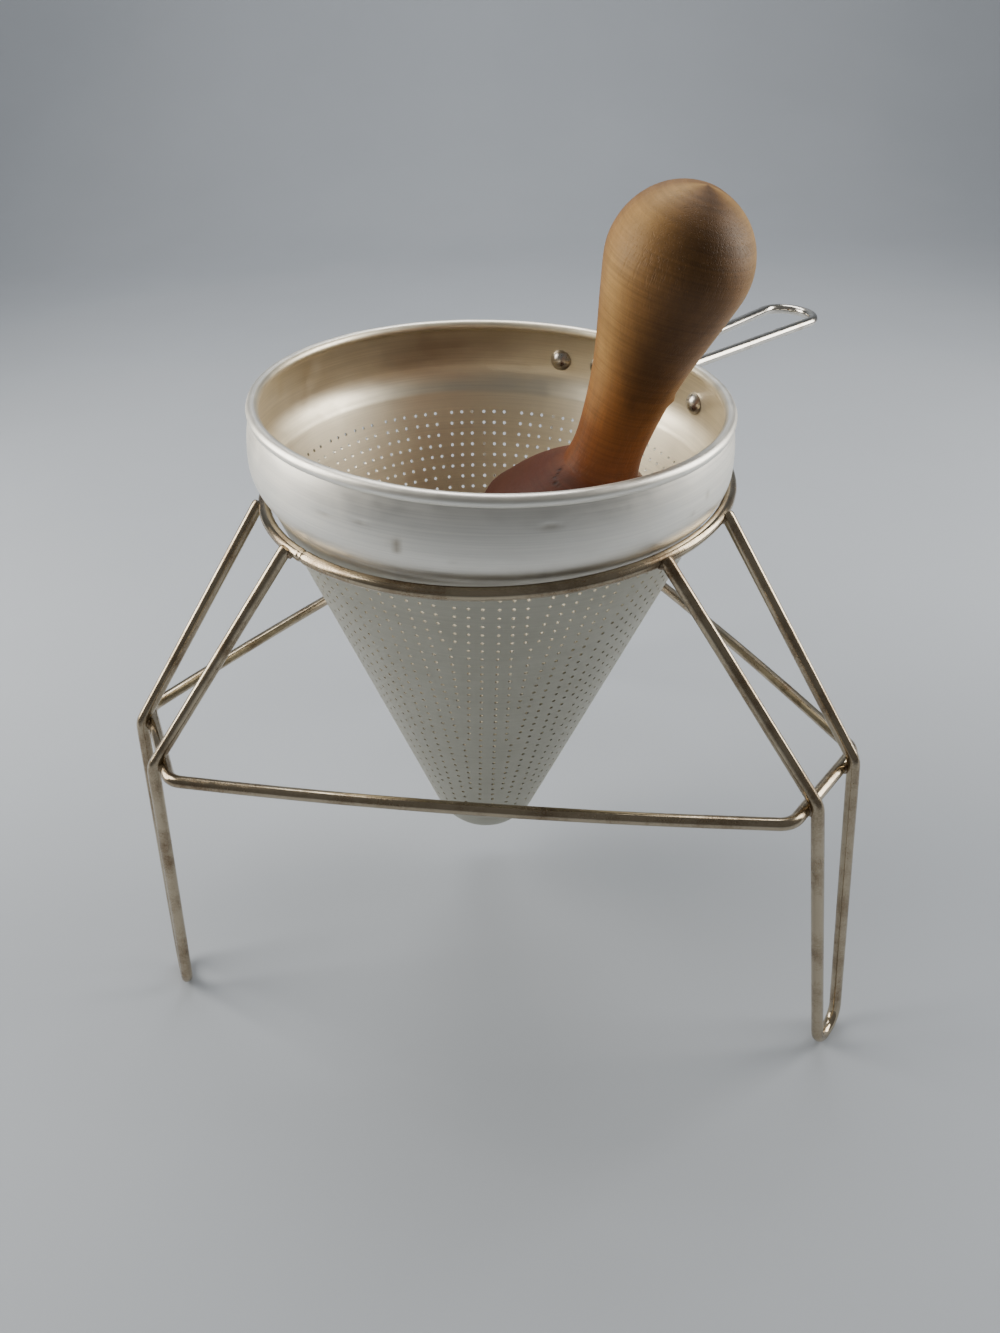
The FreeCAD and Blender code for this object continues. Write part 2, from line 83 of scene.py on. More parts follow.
class Mould:
    """Collects the points, faces and surface coordinates of one piece."""

    def __init__(self):
        self.points = []
        self.places = []
        self.faces = []
        self.count = 0

    def add(self, points, place=None):
        """Takes points of any grid shape and gives back their numbers in the same grid."""
        flat = points.reshape(-1, 3)
        numbers = np.arange(self.count, self.count + len(flat)).reshape(points.shape[:-1])
        self.points.append(flat)
        self.places.append(np.zeros_like(flat) if place is None else place.reshape(-1, 3))
        self.count += len(flat)
        return numbers

    def face(self, *corners, flip=False):
        """Adds faces whose corners are equal-sized arrays of point numbers, anticlockwise."""
        made = np.stack([c.ravel() for c in corners], axis=-1)
        self.faces.append(made[:, ::-1] if flip else made)

    def skin(self, grid, wrap_rows=False, wrap_columns=True, flip=False):
        """Quads over a grid of points: rows run along the piece, columns run round it."""
        down = np.roll(grid, -1, axis=0) if wrap_rows else grid[1:]
        here = grid if wrap_rows else grid[:-1]
        if wrap_columns:
            self.face(here, np.roll(here, -1, 1), np.roll(down, -1, 1), down, flip=flip)
        else:
            self.face(here[:, :-1], here[:, 1:], down[:, 1:], down[:, :-1], flip=flip)

    def cap(self, ring, pole, flip=False):
        """Closes a ring with triangles to one point."""
        self.face(np.full(len(ring), pole), np.roll(ring, -1), ring, flip=flip)

    def cloth(self, upper, upper_turns, lower, lower_turns, flip=False):
        """Joins two closed rings with different numbers of points.

        Both are put in order of turn. Each point makes one triangle with the point before it on
        its own ring and the last point at or before it on the other ring."""
        upper_order = np.argsort(upper_turns % FULL_TURN)
        lower_order = np.argsort(lower_turns % FULL_TURN)
        a, at = upper[upper_order], (upper_turns % FULL_TURN)[upper_order]
        b, bt = lower[lower_order], (lower_turns % FULL_TURN)[lower_order]
        self.face(b[np.searchsorted(bt, at, "left") - 1], a, np.roll(a, 1), flip=flip)
        self.face(np.roll(b, 1), b, a[np.searchsorted(at, bt, "right") - 1], flip=flip)

    def piece(self, name, body, material, replaces=(), lean=None, seat=None, crease=38, extra=None):
        """Makes the object: points in metres at the origin, smooth with sharp creases."""
        points = np.concatenate(self.points)
        if lean is not None:
            points = placed(points, lean, seat)
        mesh = bpy.data.meshes.new(name)
        mesh.vertices.add(len(points))
        mesh.vertices.foreach_set("co", (points * MM).astype(np.float32).ravel())
        corners = np.concatenate([f.ravel() for f in self.faces])
        sizes = np.concatenate([np.full(len(f), f.shape[1]) for f in self.faces])
        mesh.loops.add(len(corners))
        mesh.loops.foreach_set("vertex_index", corners.astype(np.int32))
        mesh.polygons.add(len(sizes))
        starts = np.concatenate([[0], np.cumsum(sizes)[:-1]])
        mesh.polygons.foreach_set("loop_start", starts.astype(np.int32))
        mesh.update(calc_edges=True)
        mesh.shade_smooth()
        mesh.set_sharp_from_angle(angle=math.radians(crease))
        place = mesh.attributes.new("place", "FLOAT_VECTOR", "POINT")
        place.data.foreach_set("vector", (np.concatenate(self.places) * MM).astype(np.float32).ravel())
        for key, values in (extra or {}).items():
            layer = mesh.attributes.new(key, "FLOAT", "POINT")
            layer.data.foreach_set("value", values.astype(np.float32))
        mesh.validate()
        mesh.materials.append(material)
        made = bpy.data.objects.new(name, mesh)
        bpy.context.scene.collection.objects.link(made)
        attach(made, body)
        if replaces:
            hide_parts(*replaces)
        return made


def unit(vectors):
    return vectors / np.linalg.norm(vectors, axis=-1, keepdims=True)


def smooth_through(knots, first, last, count):
    """Cubic spline through the knots with given end directions, spaced by chord length.

    The slopes at the knots solve the usual three-term equations for equal curvature on both
    sides, and each stretch is a Hermite cubic."""
    knots = np.array(knots, float)
    steps = np.linalg.norm(np.diff(knots, axis=0), axis=1)
    chord = np.concatenate([[0], np.cumsum(steps)])
    rates = np.diff(knots, axis=0) / steps[:, None]
    n = len(knots)
    system = np.eye(n)
    inner = np.arange(1, n - 1)
    system[inner, inner - 1] = steps[1:]
    system[inner, inner] = 2 * (steps[:-1] + steps[1:])
    system[inner, inner + 1] = steps[:-1]
    known = np.empty_like(knots)
    known[0], known[-1] = first, last
    known[1:-1] = 3 * (steps[1:, None] * rates[:-1] + steps[:-1, None] * rates[1:])
    slopes = np.linalg.solve(system, known)
    t = np.linspace(0, chord[-1], count)
    i = np.clip(np.searchsorted(chord, t, "right") - 1, 0, n - 2)
    h = steps[i][:, None]
    u = ((t - chord[i]) / steps[i])[:, None]
    return (
        (1 + 2 * u) * (1 - u) ** 2 * knots[i]
        + u * (1 - u) ** 2 * h * slopes[i]
        + u ** 2 * (3 - 2 * u) * knots[i + 1]
        + u ** 2 * (u - 1) * h * slopes[i + 1]
    )


def bent(corners, bends, step=0.9, closed=False):
    """Centre line of a bent wire, evenly spaced: straight runs joined by true arcs."""
    corners = [np.array(c, float) for c in corners]
    count = len(corners)
    parts = []
    for i in range(count):
        here = corners[i]
        if not bends[i]:
            parts.append(here[None])
            continue
        back = unit(corners[i - 1] - here)
        ahead = unit(corners[(i + 1) % count] - here)
        half = math.acos(float(np.clip(back @ ahead, -1, 1))) / 2
        centre = here + unit(back + ahead) * bends[i] / math.sin(half)
        start = here + back * bends[i] / math.tan(half) - centre
        sweep = math.pi - 2 * half
        side = unit(-back + back * 0)
        turns = np.linspace(0, sweep, max(4, int(sweep * bends[i] / 0.5)))[:, None]
        parts.append(centre + start * np.cos(turns) + side * bends[i] * np.sin(turns))
    line = np.concatenate(parts + ([parts[0][:1]] if closed else []))
    run = np.concatenate([[0], np.cumsum(np.linalg.norm(np.diff(line, axis=0), axis=1))])
    keep = np.concatenate([[True], np.diff(run) > 1e-6])
    even = np.linspace(0, run[-1], int(run[-1] / step))
    even = even[:-1] if closed else even
    return np.stack([np.interp(even, run[keep], line[keep, k]) for k in range(3)], axis=-1)


def bar(mould, line, reference, tall, thick, power=2.0, sides=20, closed=False):
    """Bar carried along a line.

    Each ring is a superellipse: tall is its half height towards the reference direction, thick
    its half width across it, and power 2 makes it round."""
    tangent = (np.roll(line, -1, 0) - np.roll(line, 1, 0)) if closed else np.gradient(line, axis=0)
    tangent = unit(tangent)
    up = unit(reference - (tangent @ reference)[:, None] * tangent)
    across = np.cross(tangent, up)
    angle = np.arange(sides) * FULL_TURN / sides
    full = np.ones(len(line))
    tall, thick, power = (np.asarray(v) * full for v in (tall, thick, power))
    grow = 2 / power[:, None]
    c = np.sign(np.cos(angle)) * np.abs(np.cos(angle)) ** grow * tall[:, None]
    s = np.sign(np.sin(angle)) * np.abs(np.sin(angle)) ** grow * thick[:, None]
    points = line[:, None] + c[..., None] * up[:, None] + s[..., None] * across[:, None]
    run = np.concatenate([[0], np.cumsum(np.linalg.norm(np.diff(line, axis=0), axis=1))])
    place = np.stack([c, s, run[:, None] + 0 * c], axis=-1)
    grid = mould.add(points, place)
    mould.skin(grid, wrap_rows=closed)
    if not closed:
        first, last = mould.add(line[:1], place[0, :1]), mould.add(line[-1:], place[-1, :1])
        mould.cap(grid[0], first[0])
        mould.cap(grid[-1], last[0], flip=True)
    return grid


def cut_ends(line, radius, round_over=0.7):
    """Radius along a wire whose two cut ends are slightly rounded over."""
    run = np.concatenate([[0], np.cumsum(np.linalg.norm(np.diff(line, axis=0), axis=1))])
    from_end = np.minimum(run, run[-1] - run)
    near = np.clip(1 - from_end / round_over, 0, 1)
    return radius - round_over * (1 - np.sqrt(1 - near ** 2))


# ---------------------------------------------------------------------------- materials


def add(tree, kind, inputs=None, **settings):
    """Adds a node; an input is either a number or colour, or a socket to link from."""
    made = tree.nodes.new(kind)
    for key, value in settings.items():
        setattr(made, key, value)
    for key, value in (inputs or {}).items():
        socket = made.inputs[key]
        if isinstance(value, bpy.types.NodeSocket):
            tree.links.new(value, socket)
        else:
            socket.default_value = value
    return made


def maths(tree, operation, first, second=0.0, clamp=False):
    return add(tree, "ShaderNodeMath", {0: first, 1: second}, operation=operation, use_clamp=clamp).outputs[0]


def blend(tree, factor, first, second):
    """Mix of two colours."""
    made = add(tree, "ShaderNodeMix", {"Factor": factor}, data_type="RGBA")
    for socket, value in ((made.inputs[6], first), (made.inputs[7], second)):
        if isinstance(value, bpy.types.NodeSocket):
            tree.links.new(value, socket)
        else:
            socket.default_value = value
    return made.outputs[2]


def stretch(tree, vector, scale):
    return add(tree, "ShaderNodeMapping", {"Vector": vector, "Scale": scale}).outputs[0]


def noise(tree, vector, scale, detail=3.0, roughness=0.55):
    inputs = {"Vector": vector, "Scale": scale, "Detail": detail, "Roughness": roughness}
    return add(tree, "ShaderNodeTexNoise", inputs).outputs[0]


def spread(tree, value, low, high, to_low=0.0, to_high=1.0):
    """Stretches the values between low and high over a new range."""
    inputs = {0: value, 1: low, 2: high, 3: to_low, 4: to_high}
    return add(tree, "ShaderNodeMapRange", inputs, clamp=True).outputs[0]


def ramp(tree, value, stops):
    """Colour ramp from (position, colour) pairs."""
    made = add(tree, "ShaderNodeValToRGB", {0: value})
    band = made.color_ramp
    band.elements[0].position, band.elements[0].color = stops[0]
    band.elements[1].position, band.elements[1].color = stops[-1]
    for position, colour in stops[1:-1]:
        band.elements.new(position).color = colour
    return made.outputs[0]


def group(name, inputs, outputs):
    """Empty shader node group with named sockets; inputs give their starting values."""
    tree = bpy.data.node_groups.new(name, "ShaderNodeTree")
    kinds = {float: "NodeSocketFloat", tuple: "NodeSocketColor", type(None): "NodeSocketVector"}
    for key, value in inputs.items():
        socket = tree.interface.new_socket(key, in_out="INPUT", socket_type=kinds[type(value)])
        if value is not None:
            socket.default_value = value
    for key, kind in outputs.items():
        tree.interface.new_socket(key, in_out="OUTPUT", socket_type=kind)
    start = tree.nodes.new("NodeGroupInput")
    end = tree.nodes.new("NodeGroupOutput")
    return tree, start, end


def worn_metal_group():
    """Colour, roughness and height of handled metal.

    Tarnish gathers in soft patches broken up by fine specks; the surface has streaks that follow
    the piece (Place) and faint smudges that lie across it (Position)."""
    inputs = {
        "Position": None,
        "Place": None,
        "Clean": (0.8, 0.8, 0.8, 1.0),
        "Tarnish": (0.4, 0.3, 0.2, 1.0),
        "Amount": 0.3,
        "Patch Scale": 40.0,
        "Streak Scale": 900.0,
        "Smooth": 0.2,
        "Rough": 0.4,
        "Extra Tarnish And Shade": 0.0,
    }
    outputs = {"Color": "NodeSocketColor", "Roughness": "NodeSocketFloat", "Height": "NodeSocketFloat"}
    tree, start, end = group("worn_metal", inputs, outputs)
    given = start.outputs
    patches = noise(tree, given["Position"], given["Patch Scale"], 5.0, 0.62)
    specks = noise(tree, given["Position"], 1600.0, 2.0, 0.6)
    streaks = noise(tree, given["Place"], given["Streak Scale"], 3.0, 0.6)
    smudges = noise(tree, given["Position"], 75.0, 6.0, 0.68)
    mix = maths(tree, "ADD", patches, maths(tree, "MULTIPLY", maths(tree, "SUBTRACT", specks, 0.5), 0.35))
    mix = maths(tree, "ADD", mix, maths(tree, "MULTIPLY", maths(tree, "SUBTRACT", streaks, 0.5), 0.22))
    threshold = maths(tree, "SUBTRACT", 0.72, maths(tree, "MULTIPLY", given["Amount"], 0.5))
    mask = maths(tree, "DIVIDE", maths(tree, "SUBTRACT", mix, threshold), 0.3, clamp=True)
    # Extra tarnish mask; on the spun sheet it also carries a painted shade band.
    mask = maths(tree, "MAXIMUM", mask, given["Extra Tarnish And Shade"])
    colour = blend(tree, mask, given["Clean"], given["Tarnish"])
    shade = spread(tree, streaks, 0.3, 0.7, 0.93, 1.05)
    colour = add(tree, "ShaderNodeVectorMath", {0: colour, "Scale": shade}, operation="SCALE").outputs[0]
    rough = add(tree, "ShaderNodeMix", {"Factor": mask, 2: given["Smooth"], 3: given["Rough"]}).outputs[0]
    rough = maths(tree, "ADD", rough, spread(tree, smudges, 0.35, 0.75, -0.04, 0.11))
    rough = maths(tree, "ADD", rough, spread(tree, streaks, 0.3, 0.7, -0.03, 0.03))
    height = maths(tree, "ADD", maths(tree, "MULTIPLY", streaks, 0.6), maths(tree, "MULTIPLY", specks, 0.25))
    tree.links.new(colour, end.inputs["Color"])
    tree.links.new(rough, end.inputs["Roughness"])
    tree.links.new(height, end.inputs["Height"])
    return tree


WORN_METAL = worn_metal_group()


def place_of(tree):
    """The piece's own surface coordinates."""
    return add(tree, "ShaderNodeAttribute", attribute_name="place").outputs["Vector"]


def metal(
    name, clean, tarnish, amount, smooth, rough, patch=40.0, streak=900.0, squeeze=(1, 1, 1), bump=0.05
):
    """Worn metal; squeeze stretches the streaks along the piece."""
    material = bpy.data.materials.new(name)
    material.use_nodes = True
    tree = material.node_tree
    shader = tree.nodes["Principled BSDF"]
    shader.inputs["Metallic"].default_value = 1.0
    position = add(tree, "ShaderNodeTexCoord").outputs["Object"]
    wear_and_painted_light = tree.nodes.new("ShaderNodeGroup")
    wear_and_painted_light.node_tree = WORN_METAL
    tree.links.new(position, wear_and_painted_light.inputs["Position"])
    tree.links.new(stretch(tree, place_of(tree), squeeze), wear_and_painted_light.inputs["Place"])
    settings = {
        "Clean": clean + (1.0,),
        "Tarnish": tarnish + (1.0,),
        "Amount": amount,
        "Patch Scale": patch,
        "Streak Scale": streak,
        "Smooth": smooth,
        "Rough": rough,
    }
    for key, value in settings.items():
        wear_and_painted_light.inputs[key].default_value = value
    tree.links.new(wear_and_painted_light.outputs["Color"], shader.inputs["Base Color"])
    tree.links.new(wear_and_painted_light.outputs["Roughness"], shader.inputs["Roughness"])
    inputs = {"Height": wear_and_painted_light.outputs["Height"], "Strength": 1.0, "Distance": bump * MM}
    tree.links.new(add(tree, "ShaderNodeBump", inputs).outputs[0], shader.inputs["Normal"])
    return material, tree, wear_and_painted_light


def sheet_aluminium():
    """Spun sheet: bright band, greyer matt cone, warm cream inside, with its stains and a painted shade band
    under the ring.
    """
    material, tree, wear_and_painted_light = metal(
        "spun_aluminium", (0.83, 0.83, 0.81), (0.46, 0.41, 0.33), 0.06, 0.4, 0.52,
        patch=22.0, streak=1500.0, squeeze=(1, 0.004, 0.004), bump=0.012,
    )
    inside = add(tree, "ShaderNodeAttribute", attribute_name="inside").outputs["Fac"]
    cone = add(tree, "ShaderNodeAttribute", attribute_name="cone").outputs["Fac"]
    # Real stains plus a painted shade band under the ring.
    stain_and_shade = add(tree, "ShaderNodeAttribute", attribute_name="stain_and_shade").outputs["Fac"]
    outer = blend(tree, cone, (0.95, 0.925, 0.85, 1), (0.50, 0.485, 0.41, 1))
    clean = blend(tree, inside, outer, (0.90, 0.82, 0.65, 1))
    tree.links.new(clean, wear_and_painted_light.inputs["Clean"])
    tree.links.new(stain_and_shade, wear_and_painted_light.inputs["Extra Tarnish And Shade"])
    dull = maths(tree, "ADD", maths(tree, "MULTIPLY", cone, 0.08), 0.4)
    tree.links.new(dull, wear_and_painted_light.inputs["Smooth"])
    return material


def pestle_wood():
    """Turned hardwood, its grain along the pestle: orange neck, stained head, and a bulb painted
    paler on its left and right sides (painted highlights) and darker on its front (painted shade).

    Growth rings are waves of the distance from a pith line outside the pestle, bent by noise;
    fibres and pores are noise stretched along the grain; grime from handling darkens it in random patches."""
    material = bpy.data.materials.new("pestle_wood")
    material.use_nodes = True
    tree = material.node_tree
    shader = tree.nodes["Principled BSDF"]
    shader.inputs["Specular IOR Level"].default_value = 0.3
    place = place_of(tree)
    bent_grain = noise(tree, stretch(tree, place, (9, 9, 3)), 1.0, 3.0)
    along = add(tree, "ShaderNodeSeparateXYZ", {0: place})
    x = maths(tree, "ADD", along.outputs[0], maths(tree, "MULTIPLY", bent_grain, 0.016))
    y = maths(tree, "ADD", along.outputs[1], 0.135)
    squares = maths(tree, "ADD", maths(tree, "POWER", x, 2.0), maths(tree, "POWER", y, 2.0))
    distance = maths(tree, "SQRT", squares)
    rings = maths(tree, "SINE", maths(tree, "MULTIPLY", distance, 1900.0))
    rings = maths(tree, "ADD", maths(tree, "MULTIPLY", rings, 0.5), 0.5)
    fibres = noise(tree, stretch(tree, place, (1500, 1500, 55)), 1.0, 4.0, 0.7)
    pores = noise(tree, stretch(tree, place, (2600, 2600, 120)), 1.0, 2.0, 0.5)
    clouds = noise(tree, stretch(tree, place, (38, 38, 24)), 1.0, 4.0, 0.6)
    grime = noise(tree, stretch(tree, place, (130, 130, 70)), 1.0, 5.0, 0.7)
    waver = maths(tree, "MULTIPLY", maths(tree, "SUBTRACT", clouds, 0.5), 0.022)
    level = maths(tree, "ADD", along.outputs[2], waver)
    zone = spread(tree, level, -0.118, 0.1325)
    base = ramp(tree, zone, [
        (0.0, (0.045, 0.010, 0.004, 1)),
        (0.46, (0.062, 0.014, 0.006, 1)),
        (0.555, (0.085, 0.020, 0.008, 1)),
        (0.60, (0.190, 0.055, 0.012, 1)),
        (0.68, (0.270, 0.095, 0.020, 1)),
        (0.80, (0.240, 0.108, 0.030, 1)),
        (1.0, (0.260, 0.135, 0.045, 1)),
    ])
    dark = maths(tree, "MULTIPLY", spread(tree, rings, 0.35, 1.0), 0.13)
    dark = maths(tree, "ADD", dark, maths(tree, "MULTIPLY", spread(tree, fibres, 0.45, 0.8), 0.30))
    grimy = maths(tree, "MULTIPLY", spread(tree, grime, 0.52, 0.78), 0.38)
    dark = maths(tree, "ADD", dark, grimy, clamp=True)
    colour = blend(tree, dark, base, blend(tree, zone, (0.030, 0.010, 0.006, 1), (0.11, 0.055, 0.024, 1)))
    # Painted highlights and painted shade: these two masks mark the grip's left and right sides, painted
    # paler, and its front, painted darker, in place of lighting.
    wear_and_painted_light = add(tree, "ShaderNodeAttribute", attribute_name="wear_and_painted_light").outputs["Fac"]
    painted_shade = add(tree, "ShaderNodeAttribute", attribute_name="painted_shade").outputs["Fac"]
    # Painted shade: the front of the grip is painted darker, standing in for the shade between the two side
    # lamps.
    painted_shade_amount = maths(tree, "MULTIPLY", painted_shade, spread(tree, clouds, 0.3, 0.62, 0.35, 0.85))
    colour = blend(tree, painted_shade_amount, colour, (0.062, 0.027, 0.009, 1))
    # Painted highlights: the grip's left and right sides are painted paler, standing in for light from the
    # side lamps.
    painted_highlight_amount = maths(tree, "MULTIPLY", wear_and_painted_light, spread(tree, clouds, 0.62, 0.35, 0.45, 0.9))
    colour = blend(tree, painted_highlight_amount, colour, (0.55, 0.33, 0.11, 1))
    turning = noise(tree, stretch(tree, place, (30, 30, 1300)), 1.0, 2.0, 0.5)
    shade = spread(tree, turning, 0.3, 0.7, 0.86, 1.12)
    colour = add(tree, "ShaderNodeVectorMath", {0: colour, "Scale": shade}, operation="SCALE").outputs[0]
    crack = add(tree, "ShaderNodeAttribute", attribute_name="crack").outputs["Fac"]
    colour = blend(tree, crack, colour, (0.018, 0.008, 0.006, 1))
    tree.links.new(colour, shader.inputs["Base Color"])
    rough = spread(tree, clouds, 0.3, 0.7, 0.36, 0.5)
    rough = maths(tree, "ADD", rough, maths(tree, "MULTIPLY", fibres, 0.16))
    tree.links.new(rough, shader.inputs["Roughness"])
    pits = maths(tree, "MULTIPLY", spread(tree, pores, 0.55, 0.7), 0.7)
    height = maths(tree, "SUBTRACT", maths(tree, "MULTIPLY", fibres, 0.5), pits)
    height = maths(tree, "SUBTRACT", height, maths(tree, "MULTIPLY", crack, 4.0))
    inputs = {"Height": height, "Strength": 0.75, "Distance": 0.00012}
    tree.links.new(add(tree, "ShaderNodeBump", inputs).outputs[0], shader.inputs["Normal"])
    return material


ALONG_WIRE = (1, 1, 0.03)
SPUN = sheet_aluminium()
PLATED = metal(
    "plated_wire", (0.49, 0.415, 0.30), (0.17, 0.11, 0.06), 0.58, 0.15, 0.33,
    patch=45.0, squeeze=ALONG_WIRE, bump=0.03,
)[0]
BRIGHT = metal(
    "handle_wire", (0.70, 0.665, 0.60), (0.38, 0.31, 0.225), 0.35, 0.14, 0.3,
    patch=60.0, squeeze=ALONG_WIRE, bump=0.02,
)[0]
SATIN = metal(
    "rivet_metal", (0.52, 0.49, 0.45), (0.27, 0.23, 0.18), 0.4, 0.27, 0.4,
    patch=260.0, bump=0.01,
)[0]
WELD = metal(
    "weld_metal", (0.46, 0.385, 0.285), (0.16, 0.10, 0.058), 0.75, 0.22, 0.46,
    patch=240.0, bump=0.12,
)[0]
WOOD = pestle_wood()

# ------------------------------------------------------------------------- the strainer

SHEET = 1.2
BELLY = 96.3
BELLY_HEIGHT = 14.5
CREASE = 2.1
CONE_RADIUS = 90.5
CONE_SLOPE = 0.373
HALF = math.atan(CONE_SLOPE)
TIP = -CONE_RADIUS / CONE_SLOPE
NOSE = 27.5
NOSE_HEIGHT = TIP + NOSE / math.sin(HALF)
HOLE = 0.8

ROW_TOP = 251.2
ROW_PITCH = 5.13
# Holes to a row of one panel, and the rows: the columns are dropped as the panels narrow.
ROWS = ((6, 0, 5), (5, 6, 14), (4, 15, 19), (3, 20, 28), (2, 29, 32))
PAIR = (-2.95, 2.95)
FOUR = (-8, -2.95, 2.95, 8)
COLUMNS = {6: (-13,) + FOUR + (13,), 5: FOUR, 4: FOUR, 3: PAIR, 2: PAIR}
PANELS = 16
panel_number = np.arange(PANELS + 1)
panel_middles = 269.43 + 360 / PANELS * panel_number
panel_middles += 1.965 * (1 - np.cos(FULL_TURN * panel_number / PANELS))
PANEL_MIDDLES = np.radians(panel_middles)


def cone_point(turn, slant, depth):
    """Point of the cone: slant is measured from the cone's tip down its outer face, depth below
    that face along its normal."""
    radius = slant * math.sin(HALF) - depth * math.cos(HALF)
    height = TIP + slant * math.cos(HALF) + depth * math.sin(HALF)
    return np.stack([radius * np.cos(turn), radius * np.sin(turn), height + 0 * turn], axis=-1)


def hole_turns(slant, holes):
    """Turns of the holes in rows at the given slants.

    A column runs parallel to its panel's middle on the flattened cone, so at a distance x from
    that middle it has turned arcsin(x / slant), which the cone winds up by the sine of its half
    angle. In rows with an odd number one column runs down the line between two panels."""
    x = np.array(COLUMNS[holes], float)
    own = PANEL_MIDDLES[:-1, None] + np.arcsin(x / slant[:, None, None]) / math.sin(HALF)
    if holes % 2:
        shared = (PANEL_MIDDLES[:-1] + PANEL_MIDDLES[1:]) / 2
        shared = np.broadcast_to(shared[:, None], (len(slant), PANELS, 1))
        own = np.concatenate([own, shared], axis=2)
    return own.reshape(len(slant), -1)


def between(turns):
    """Turns halfway from each hole to the next, round the whole row."""
    after = np.roll(turns, -1, axis=1)
    after[:, -1] += FULL_TURN
    return (turns + after) / 2


def perforated_band(mould, holes, first, last):
    """Rows of round holes cut through the wall.

    The wall is a lattice of cells, one hole to each. Eight points on a cell's border are joined
    to eight points on its hole, on the outer and on the inner face, and the two rings of a hole
    are joined through the wall. Gives the top and bottom rings of both faces."""
    rows = ROW_TOP - ROW_PITCH * np.arange(first, last + 1)
    lines = np.concatenate([rows + ROW_PITCH / 2, rows[-1:] - ROW_PITCH / 2])
    lines[0] -= 0.35
    lines[-1] += 0.35
    row_turns, line_turns = hole_turns(rows, holes), hole_turns(lines, holes)
    angle = np.arange(8) * FULL_TURN / 8
    ring_slant = rows[:, None, None] + HOLE * np.sin(angle)
    ring_turn = row_turns[..., None] + HOLE * np.cos(angle) / (rows[:, None, None] * math.sin(HALF))
    rims, rings = [], []
    for depth, flip in ((0.0, False), (SHEET, True)):
        def put(turn, slant):
            place = np.stack([slant + 0 * turn, 300 * np.cos(turn), 300 * np.sin(turn)], axis=-1)
            return mould.add(cone_point(turn, slant, depth), place)
        corner = put(between(line_turns), lines[:, None])
        edge = put(line_turns, lines[:, None])
        side = put(between(row_turns), rows[:, None])
        ring = put(ring_turn, ring_slant)
        left = lambda grid: np.roll(grid, 1, axis=1)
        border = [side, corner[:-1], edge[:-1], left(corner[:-1])]
        border += [left(side), left(corner[1:]), edge[1:], corner[1:]]
        for k in range(8):
            n = (k + 1) % 8
            mould.face(border[k], border[n], ring[..., n], ring[..., k], flip=flip)
        rings.append(ring)
        turns = np.stack([line_turns, between(line_turns)], axis=-1).reshape(len(lines), -1)
        loops = np.stack([edge, corner], axis=-1).reshape(len(lines), -1)
        rims.append(((loops[0], turns[0]), (loops[-1], turns[-1])))
    outer, inner = rings
    mould.face(outer, np.roll(outer, -1, 2), np.roll(inner, -1, 2), inner)
    return rims


def revolved(mould, radius, height, turns, run, wobble=0.0):
    """Surface of revolution: every profile point at every turn."""
    around = np.stack([np.cos(turns), np.sin(turns), 0 * turns], axis=-1)
    out = radius[:, None] + wobble + 0 * turns
    points = out[..., None] * around + height[:, None, None] * np.array([0, 0, 1.0])
    place = [run[:, None] + 0 * out, 300 * around[:, 0] + 0 * out, 300 * around[:, 1] + 0 * out]
    place = np.stack(place, axis=-1)
    return mould.add(points, place)


def swell(height, edge_radius, edge_height):
    """Radius along the arc that is widest at the belly and ends at the edge given.

    The arc's own radius is (rise squared + inset squared) / (2 inset)."""
    rise, inset = edge_height - BELLY_HEIGHT, BELLY - edge_radius
    bow = (rise ** 2 + inset ** 2) / (2 * inset)
    return BELLY - bow + np.sqrt(np.maximum(bow ** 2 - (height - BELLY_HEIGHT) ** 2, 0))


def band_radius(height):
    """Outer radius of the cone's plain top, the belly and the groove under the bead."""
    cone = CONE_RADIUS + CONE_SLOPE * height
    lower = swell(height, CONE_RADIUS + CONE_SLOPE * CREASE, CREASE)
    belly = np.where(height < BELLY_HEIGHT, lower, swell(height, 94.0, 31.5))
    return np.where(height < CREASE, cone, belly)


def band_profile():
    """Closed-up section from the outside of the cone's top, over the rolled bead, to its inside.

    The outside is softened along the crease by a running mean; the inside is the outside moved
    in by the sheet's thickness along its normal."""
    start = TIP + 254.6 * math.cos(HALF)
    height = np.linspace(start - 6, 31.3, 380)
    radius = band_radius(height)
    kernel = np.hanning(21) / np.hanning(21).sum()
    soft = np.convolve(radius, kernel, "same")
    radius = np.where((height > -4) & (height < 10), soft, radius)
    keep = height >= start
    radius, height = radius[keep][::6], height[keep][::6]
    slope = unit(np.stack([np.gradient(radius), np.gradient(height)], axis=-1))
    inner_radius = (radius - SHEET * slope[:, 1])[::-1]
    inner_height = (height + SHEET * slope[:, 0])[::-1]
    angle = np.radians(np.linspace(-44, 268, 40))
    bead_radius = 92.6 + 2.4 * np.cos(angle)
    bead_height = 33.1 + 2.4 * np.sin(angle)
    below = inner_height < 30.6
    return (
        np.concatenate([radius, bead_radius, inner_radius[below]]),
        np.concatenate([height, bead_height, inner_height[below]]),
    )


# (turn, height, width, tall, depth): knocks in the band, in degrees and millimetres
DINGS = (
    (280.5, 25, 2.2, 1.0, 0.28),
    (233.3, 20, 3.0, 0.8, 0.22),
    (242.3, 21.3, 2.0, 0.7, 0.2),
    (301, 12, 3.0, 2.2, 0.15),
    (222, 14, 4, 2, 0.12),
)
# (turn, height, width, tall, strength): brown marks on the band
STAINS = (
    (250, 16.3, 1.3, 1.9, 1.0),
    (250.6, 13.8, 0.8, 1.1, 0.9),
    (280.5, 25, 2.4, 0.8, 0.6),
    (233.3, 20, 3.2, 0.7, 0.45),
    (242.3, 21.3, 2.2, 0.6, 0.4),
    (316, 16, 1.2, 1.0, 0.5),
    (322, 20, 0.8, 1.6, 0.4),
    (262, 12, 0.8, 0.8, 0.35),
)


